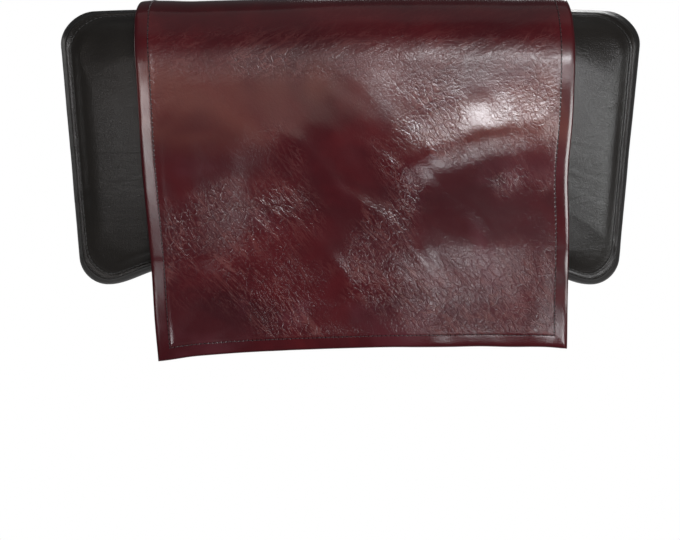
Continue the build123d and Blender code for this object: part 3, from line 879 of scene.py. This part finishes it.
    # needle holes along the rows, one to each stitch
    def holes(across, along, first):
        row = m.span(m.math("ABSOLUTE", m.math("SUBTRACT", across, ROW * MM)), 0.00045, 0.00085, 1.0, 0.0)
        beat = m.math("FRACT", m.math("MULTIPLY", m.math("SUBTRACT", along, first * MM), 1000.0 / 3.75))
        return m.math("MULTIPLY", row, m.span(m.math("ABSOLUTE", m.math("SUBTRACT", beat, 0.5)), 0.30, 0.44))
    inside_x, inside_y = m.span(ey, 0.0108, 0.0112), m.span(ex, 0.0108, 0.0112)
    hole = m.math("MAXIMUM", m.math("MULTIPLY", holes(ex, sy, ROW), inside_x), m.math("MULTIPLY", holes(ey, sx, SHEET_W / 2 - in_row), inside_y))
    base = m.mix(m.math("MULTIPLY", hole, 0.9), base, (0.010, 0.002, 0.003))
    rough = m.math("ADD", m.math("MULTIPLY", m.noise(obj, 16.0, 3.0, 0.6), 0.11), 0.11)
    rough = m.math("ADD", rough, m.math("MULTIPLY", crease_all, 0.08))
    rough = m.math("ADD", rough, m.span(e, 0.0105, 0.0125, -0.025, 0.0))
    rough = m.math("ADD", rough, m.math("ADD", m.math("MULTIPLY", bend, 0.22), m.math("MULTIPLY", corner, 0.06)))
    n1 = m.bump(m.math("MULTIPLY", grain, field), m.math("MULTIPLY", m.span(oz, 0.09, 0.12, 1.0, 0.4), m.math("MULTIPLY_ADD", region, 0.14, 0.09)), 0.00032)
    relief = m.math("ADD", m.math("MULTIPLY", streak, 0.8), m.math("ADD", m.math("MULTIPLY", fine, 0.16), m.math("MULTIPLY", crease_all, 0.10)))
    n2 = m.bump(relief, m.math("ADD", m.math("MULTIPLY_ADD", region, 0.14, 0.04), m.math("MULTIPLY", m.math("MULTIPLY", bend, field), 0.22)), 0.0030, n1)
    n3 = m.bump(m.math("SUBTRACT", pores, m.math("MULTIPLY", hole, 2.0)), 0.14, 0.0002, n2)
    m.set(Base_Color=base, Roughness=rough, Normal=n3, IOR=1.42, Coat_Weight=0.25, Coat_Roughness=0.11, Coat_IOR=1.42, Coat_Normal=n3)
    return m.mat


def cover_suede():
    m = Nodes("burgundy_suede")
    obj = m.coords("Object")
    nap = m.noise(m.mapping(obj, (1, 1, 1)), 900.0, 4.0, 0.7)
    tone = m.noise(obj, 22.0, 4.0, 0.6, 0.5)
    base = m.ramp(tone, [(0.3, (0.070, 0.020, 0.018)), (0.7, (0.135, 0.045, 0.036))])
    base = m.mix(m.span(nap, 0.35, 0.65, 0.35, 0.0), base, (0.045, 0.012, 0.012))
    m.set(Base_Color=base, Roughness=m.span(tone, 0.2, 0.8, 0.82, 0.95), Normal=m.bump(nap, 0.5, 0.0004), Sheen_Weight=0.35, Sheen_Roughness=0.5, Specular_IOR_Level=0.25)
    return m.mat


def pad_leather():
    m = Nodes("black_leather")
    obj = m.coords("Object")
    tone = m.noise(obj, 9.0, 4.0, 0.55, 0.3)
    base = m.ramp(tone, [(0.3, (0.0105, 0.0090, 0.0078)), (0.55, (0.0138, 0.0118, 0.0102)), (0.8, (0.0190, 0.0165, 0.0142))])
    cells = m.voronoi(obj, 620.0, "DISTANCE_TO_EDGE")
    cells2 = m.voronoi(m.mapping(obj, (1, 1, 1), (0.4, 0.3, 0.9)), 330.0, "DISTANCE_TO_EDGE")
    grain = m.math("ADD", m.math("MULTIPLY", m.span(cells, 0.0, 0.16), 0.6), m.math("MULTIPLY", m.span(cells2, 0.0, 0.10), 0.5))
    wrinkle = m.noise(m.mapping(obj, (18.0, 18.0, 46.0), (0, math.radians(28), 0)), 1.0, 5.0, 0.6, 1.0)
    base = m.mix(m.span(cells2, 0.0, 0.05, 0.25, 0.0), base, (0.006, 0.006, 0.006))
    worn = m.span(m.noise(obj, 30.0, 5.0, 0.65, 0.8), 0.56, 0.75)
    base = m.mix(m.math("MULTIPLY", worn, 0.25), base, (0.030, 0.028, 0.025))
    rough = m.math("ADD", m.math("MULTIPLY", m.noise(obj, 24.0, 4.0, 0.6), 0.14), 0.24)
    n1 = m.bump(grain, 0.30, 0.00022)
    n2 = m.bump(wrinkle, 0.22, 0.0020, n1)
    m.set(Base_Color=base, Roughness=rough, Normal=n2, IOR=1.38, Coat_Weight=0.05, Coat_Roughness=0.3, Coat_Normal=n2)
    return m.mat


def thread(name, dark, light):
    m = Nodes(name)
    obj = m.coords("Object")
    fibre = m.noise(obj, 2600.0, 3.0, 0.6)
    tone = m.noise(obj, 60.0, 2.0, 0.5)
    base = m.mix(m.span(fibre, 0.35, 0.7), dark, light)
    base = m.mix(m.span(tone, 0.4, 0.7, 0.0, 0.35), base, tuple(c * 0.6 for c in dark))
    m.set(Base_Color=base, Roughness=m.span(fibre, 0.2, 0.8, 0.5, 0.7), Normal=m.bump(fibre, 0.4, 0.0002), Sheen_Weight=0.25, Sheen_Roughness=0.4)
    return m.mat


def nonwoven():
    m = Nodes("black_nonwoven")
    obj = m.coords("Object")
    f1 = m.noise(m.mapping(obj, (1, 1, 5), (0, 0.6, 0)), 260.0, 4.0, 0.7, 1.5)
    f2 = m.noise(m.mapping(obj, (5, 1, 1), (0, 0.2, 0)), 230.0, 4.0, 0.7, 1.5)
    dots = m.voronoi(m.mapping(obj, (1, 0.001, 1), (0, math.radians(45), 0)), 420.0, "F1", 0.0)
    fibres = m.math("MAXIMUM", f1, f2)
    base = m.ramp(fibres, [(0.45, (0.010, 0.010, 0.0105)), (0.62, (0.026, 0.026, 0.028)), (0.78, (0.060, 0.060, 0.063))])
    h = m.math("SUBTRACT", fibres, m.span(dots, 0.15, 0.32, 0.55, 0.0))
    m.set(Base_Color=base, Roughness=m.span(fibres, 0.4, 0.7, 0.7, 0.88), Normal=m.bump(h, 0.5, 0.0003), Sheen_Weight=0.2, Sheen_Roughness=0.5)
    return m.mat


def plywood():
    m = Nodes("birch_plywood")
    obj = m.coords("Object")
    rings = m.noise(m.mapping(obj, (2.2, 30.0, 36.0)), 1.0, 6.0, 0.6, 1.4)
    fine = m.noise(m.mapping(obj, (30.0, 400.0, 700.0)), 1.0, 4.0, 0.6)
    base = m.ramp(rings, [(0.3, (0.42, 0.27, 0.145)), (0.5, (0.58, 0.41, 0.24)), (0.7, (0.66, 0.49, 0.31))])
    base = m.mix(m.span(fine, 0.4, 0.7, 0.0, 0.3), base, (0.30, 0.18, 0.09))
    _, sy, _ = m.separate(obj)
    ply = m.math("FRACT", m.math("MULTIPLY", sy, 1000.0 / 2.4))
    base = m.mix(m.span(m.math("ABSOLUTE", m.math("SUBTRACT", ply, 0.5)), 0.40, 0.5, 0.0, 0.35), base, (0.20, 0.11, 0.05))
    m.set(Base_Color=base, Roughness=m.span(rings, 0.2, 0.8, 0.55, 0.72), Normal=m.bump(fine, 0.25, 0.0004))
    return m.mat


def steel(name, tint):
    m = Nodes(name)
    obj = m.coords("Object")
    spangle = m.voronoi(obj, 900.0, "F1", 1.0, "Color")
    r = m.separate(spangle)[0]
    base = m.mix(m.span(r, 0.0, 1.0, 0.0, 0.5), tint, tuple(c * 0.72 for c in tint))
    scratch = m.noise(m.mapping(obj, (40, 900, 900)), 1.0, 4.0, 0.6)
    m.set(Base_Color=base, Metallic=1.0, Roughness=m.span(scratch, 0.3, 0.7, 0.28, 0.46), Normal=m.bump(scratch, 0.12, 0.0002))
    return m.mat


def foam(name, dark, light):
    m = Nodes(name)
    obj = m.coords("Object")
    cells = m.voronoi(obj, 900.0, "F1")
    tone = m.noise(obj, 14.0, 4.0, 0.6)
    base = m.mix(m.span(tone, 0.3, 0.7), dark, light)
    base = m.mix(m.span(cells, 0.2, 0.7, 0.0, 0.4), base, tuple(c * 0.6 for c in dark))
    m.set(Base_Color=base, Roughness=m.span(cells, 0.1, 0.8, 0.85, 0.95), Normal=m.bump(cells, 0.6, 0.0006))
    return m.mat


burgundy, suede, black = cover_leather(), cover_suede(), pad_leather()
thread_black = thread("black_thread", (0.010, 0.010, 0.010), (0.034, 0.033, 0.031))
thread_red = thread("burgundy_thread", (0.016, 0.004, 0.005), (0.060, 0.014, 0.016))
cover.data.materials.append(burgundy)
cover.data.materials.append(suede)
for o in (side_band, front_panel):
    o.data.materials.append(black)
for o in (band_stitches, panel_stitches):
    o.data.materials.append(thread_black)
for o in hem_rows.values():
    o.data.materials.append(thread_red)
dust.data.materials.append(nonwoven())


def repaint(node, material):
    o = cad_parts[node]
    if not o.material_slots:
        o.data.materials.append(material)
    for s in o.material_slots:
        s.material = material


repaint("back_board", plywood())
repaint("tee_nuts", steel("zinc_plate", (0.66, 0.66, 0.64)))
wire = steel("staple_wire", (0.60, 0.60, 0.61))
repaint("band_staples", wire)
repaint("dust_cover_staples", wire)

# ------------------------------------------------------------------ pieces and bodies
for o in (side_band, front_panel, band_stitches, panel_stitches, dust):
    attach(o, "headrest")
for o in (cover, *hem_rows.values()):
    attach(o, "cover")
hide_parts("side_band", "foam_core", "batting_wrap")
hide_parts("front_panel", "foam_topper")
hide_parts("side_seam_thread")
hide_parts("front_seam_thread")
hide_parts("dust_cover")
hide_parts("cover_sheet")
for s, o in hem_rows.items():
    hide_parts(f"hem_thread_{s}")

# ------------------------------------------------------------------ floor, backdrop and light
def backdrop():
    """One seamless pale sweep: floor, curve and wall."""
    prof = [(-0.6, -1.15), (0.8, -1.15)]
    for a in np.linspace(0, 90, 13)[1:]:
        prof.append((0.8 + 1.4 * math.sin(math.radians(a)), -1.15 + 1.4 * (1 - math.cos(math.radians(a)))))
    prof.append((2.2, 0.75))
    verts = [(x, y, z) for y, z in prof for x in (-2.4, 2.4)]
    faces = [(2 * i, 2 * i + 1, 2 * i + 3, 2 * i + 2) for i in range(len(prof) - 1)]
    o = new_mesh("backdrop", np.array(verts) / MM, faces)
    m = Nodes("pale_paper")
    obj = m.coords("Object")
    tone = m.noise(obj, 1.5, 2.0, 0.5)
    m.set(Base_Color=m.mix(m.span(tone, 0.3, 0.7), (0.55, 0.55, 0.55), (0.57, 0.57, 0.57)), Roughness=0.9, Specular_IOR_Level=0.1)
    glow = m.tree.nodes.new("ShaderNodeEmission")
    glow.inputs["Color"].default_value = (1, 1, 1, 1)
    glow.inputs["Strength"].default_value = 1.0
    path_ = m.tree.nodes.new("ShaderNodeLightPath")
    both = m.tree.nodes.new("ShaderNodeMixShader")
    m.link(path_.outputs["Is Camera Ray"], both.inputs[0])
    m.link(m.bsdf.outputs[0], both.inputs[1])
    m.link(glow.outputs[0], both.inputs[2])
    m.link(both.outputs[0], m.out.inputs["Surface"])
    o.data.materials.append(m.mat)
    return o


floor = backdrop()

world = bpy.data.worlds.new("studio")
bpy.context.scene.world = world
world.use_nodes = True
wt = world.node_tree
wt.nodes.clear()
wo = wt.nodes.new("ShaderNodeOutputWorld")
dim = wt.nodes.new("ShaderNodeBackground")
dim.inputs["Color"].default_value = (0.93, 0.96, 1.0, 1)
dim.inputs["Strength"].default_value = 0.085
pale = wt.nodes.new("ShaderNodeBackground")
pale.inputs["Color"].default_value = (1, 1, 1, 1)
pale.inputs["Strength"].default_value = 1.0
rays = wt.nodes.new("ShaderNodeLightPath")
either = wt.nodes.new("ShaderNodeMixShader")
wt.links.new(rays.outputs["Is Camera Ray"], either.inputs[0])
wt.links.new(dim.outputs[0], either.inputs[1])
wt.links.new(pale.outputs[0], either.inputs[2])
wt.links.new(either.outputs[0], wo.inputs["Surface"])


def area(name, where, aim, size, power, color=(1, 1, 1)):
    d = bpy.data.lights.new(name, "AREA")
    d.shape = "RECTANGLE"
    d.size, d.size_y = size
    d.energy = power
    d.color = color
    o = bpy.data.objects.new(name, d)
    o.location = where
    o.rotation_euler = (Vector(aim) - Vector(where)).to_track_quat("-Z", "Y").to_euler()
    bpy.context.scene.collection.objects.link(o)
    return o


def soft_light(name, azimuth, elevation, distance, width, height, radiance, color):
    """A soft light in front of the pad, at that direction from the middle of its face."""
    a, e = math.radians(azimuth), math.radians(elevation)
    at = (distance * math.sin(a) * math.cos(e), -0.107 - distance * math.cos(a) * math.cos(e), distance * math.sin(e))
    w, h = (2 * distance * math.tan(math.radians(v) / 2) for v in (width, height))
    return area(name, at, (0, -0.107, 0), (w, h), radiance * math.pi * w * h, color)


LIGHT = {"window_right": 38, "wall_right": 12.5, "window_left": 9.0, "wall_warm": 1.3, "wall_upper": 0.6, "wall_high": 0.7, "low_left": 2.4, "floor_glow": 19.0, "ceiling": 3.5, "rear_fill": 16, "side_left": 2.2}
soft_light("window_right", 15, 9.6, 2.7, 16, 6, LIGHT["window_right"], (0.97, 0.97, 1.0))
soft_light("wall_right", 42, -5.0, 2.4, 32, 12, LIGHT["wall_right"], (0.98, 1.0, 1.0))
soft_light("side_left", -102, 8, 2.6, 30, 24, LIGHT["side_left"], (1.0, 0.98, 0.96))
soft_light("window_left", -23.2, -2.5, 2.7, 6, 15, LIGHT["window_left"], (1.0, 0.97, 0.97))
soft_light("wall_warm", -3, 4.5, 3.0, 26, 7, LIGHT["wall_warm"], (1.0, 0.80, 0.68))
soft_light("wall_upper", -1, 12, 3.05, 30, 8, LIGHT["wall_upper"], (1.0, 0.84, 0.74))
soft_light("wall_high", 0, 22, 3.1, 34, 12, LIGHT["wall_high"], (1.0, 0.90, 0.84))
soft_light("low_left", -18, -12, 2.7, 6, 10, LIGHT["low_left"], (0.96, 0.96, 1.0))
soft_light("floor_glow", 13, -20.4, 2.5, 9, 4.5, LIGHT["floor_glow"], (0.97, 0.97, 1.0))
area("ceiling", (0.1, -0.4, 2.3), (0, 0, 0), (2.4, 2.0), LIGHT["ceiling"], (1.0, 0.99, 0.97))
area("rear_fill", (0.5, 1.9, 1.3), (0, 0, 0), (1.2, 0.8), LIGHT["rear_fill"])

scene = bpy.context.scene
scene.view_settings.view_transform = "Standard"
scene.view_settings.look = "None"
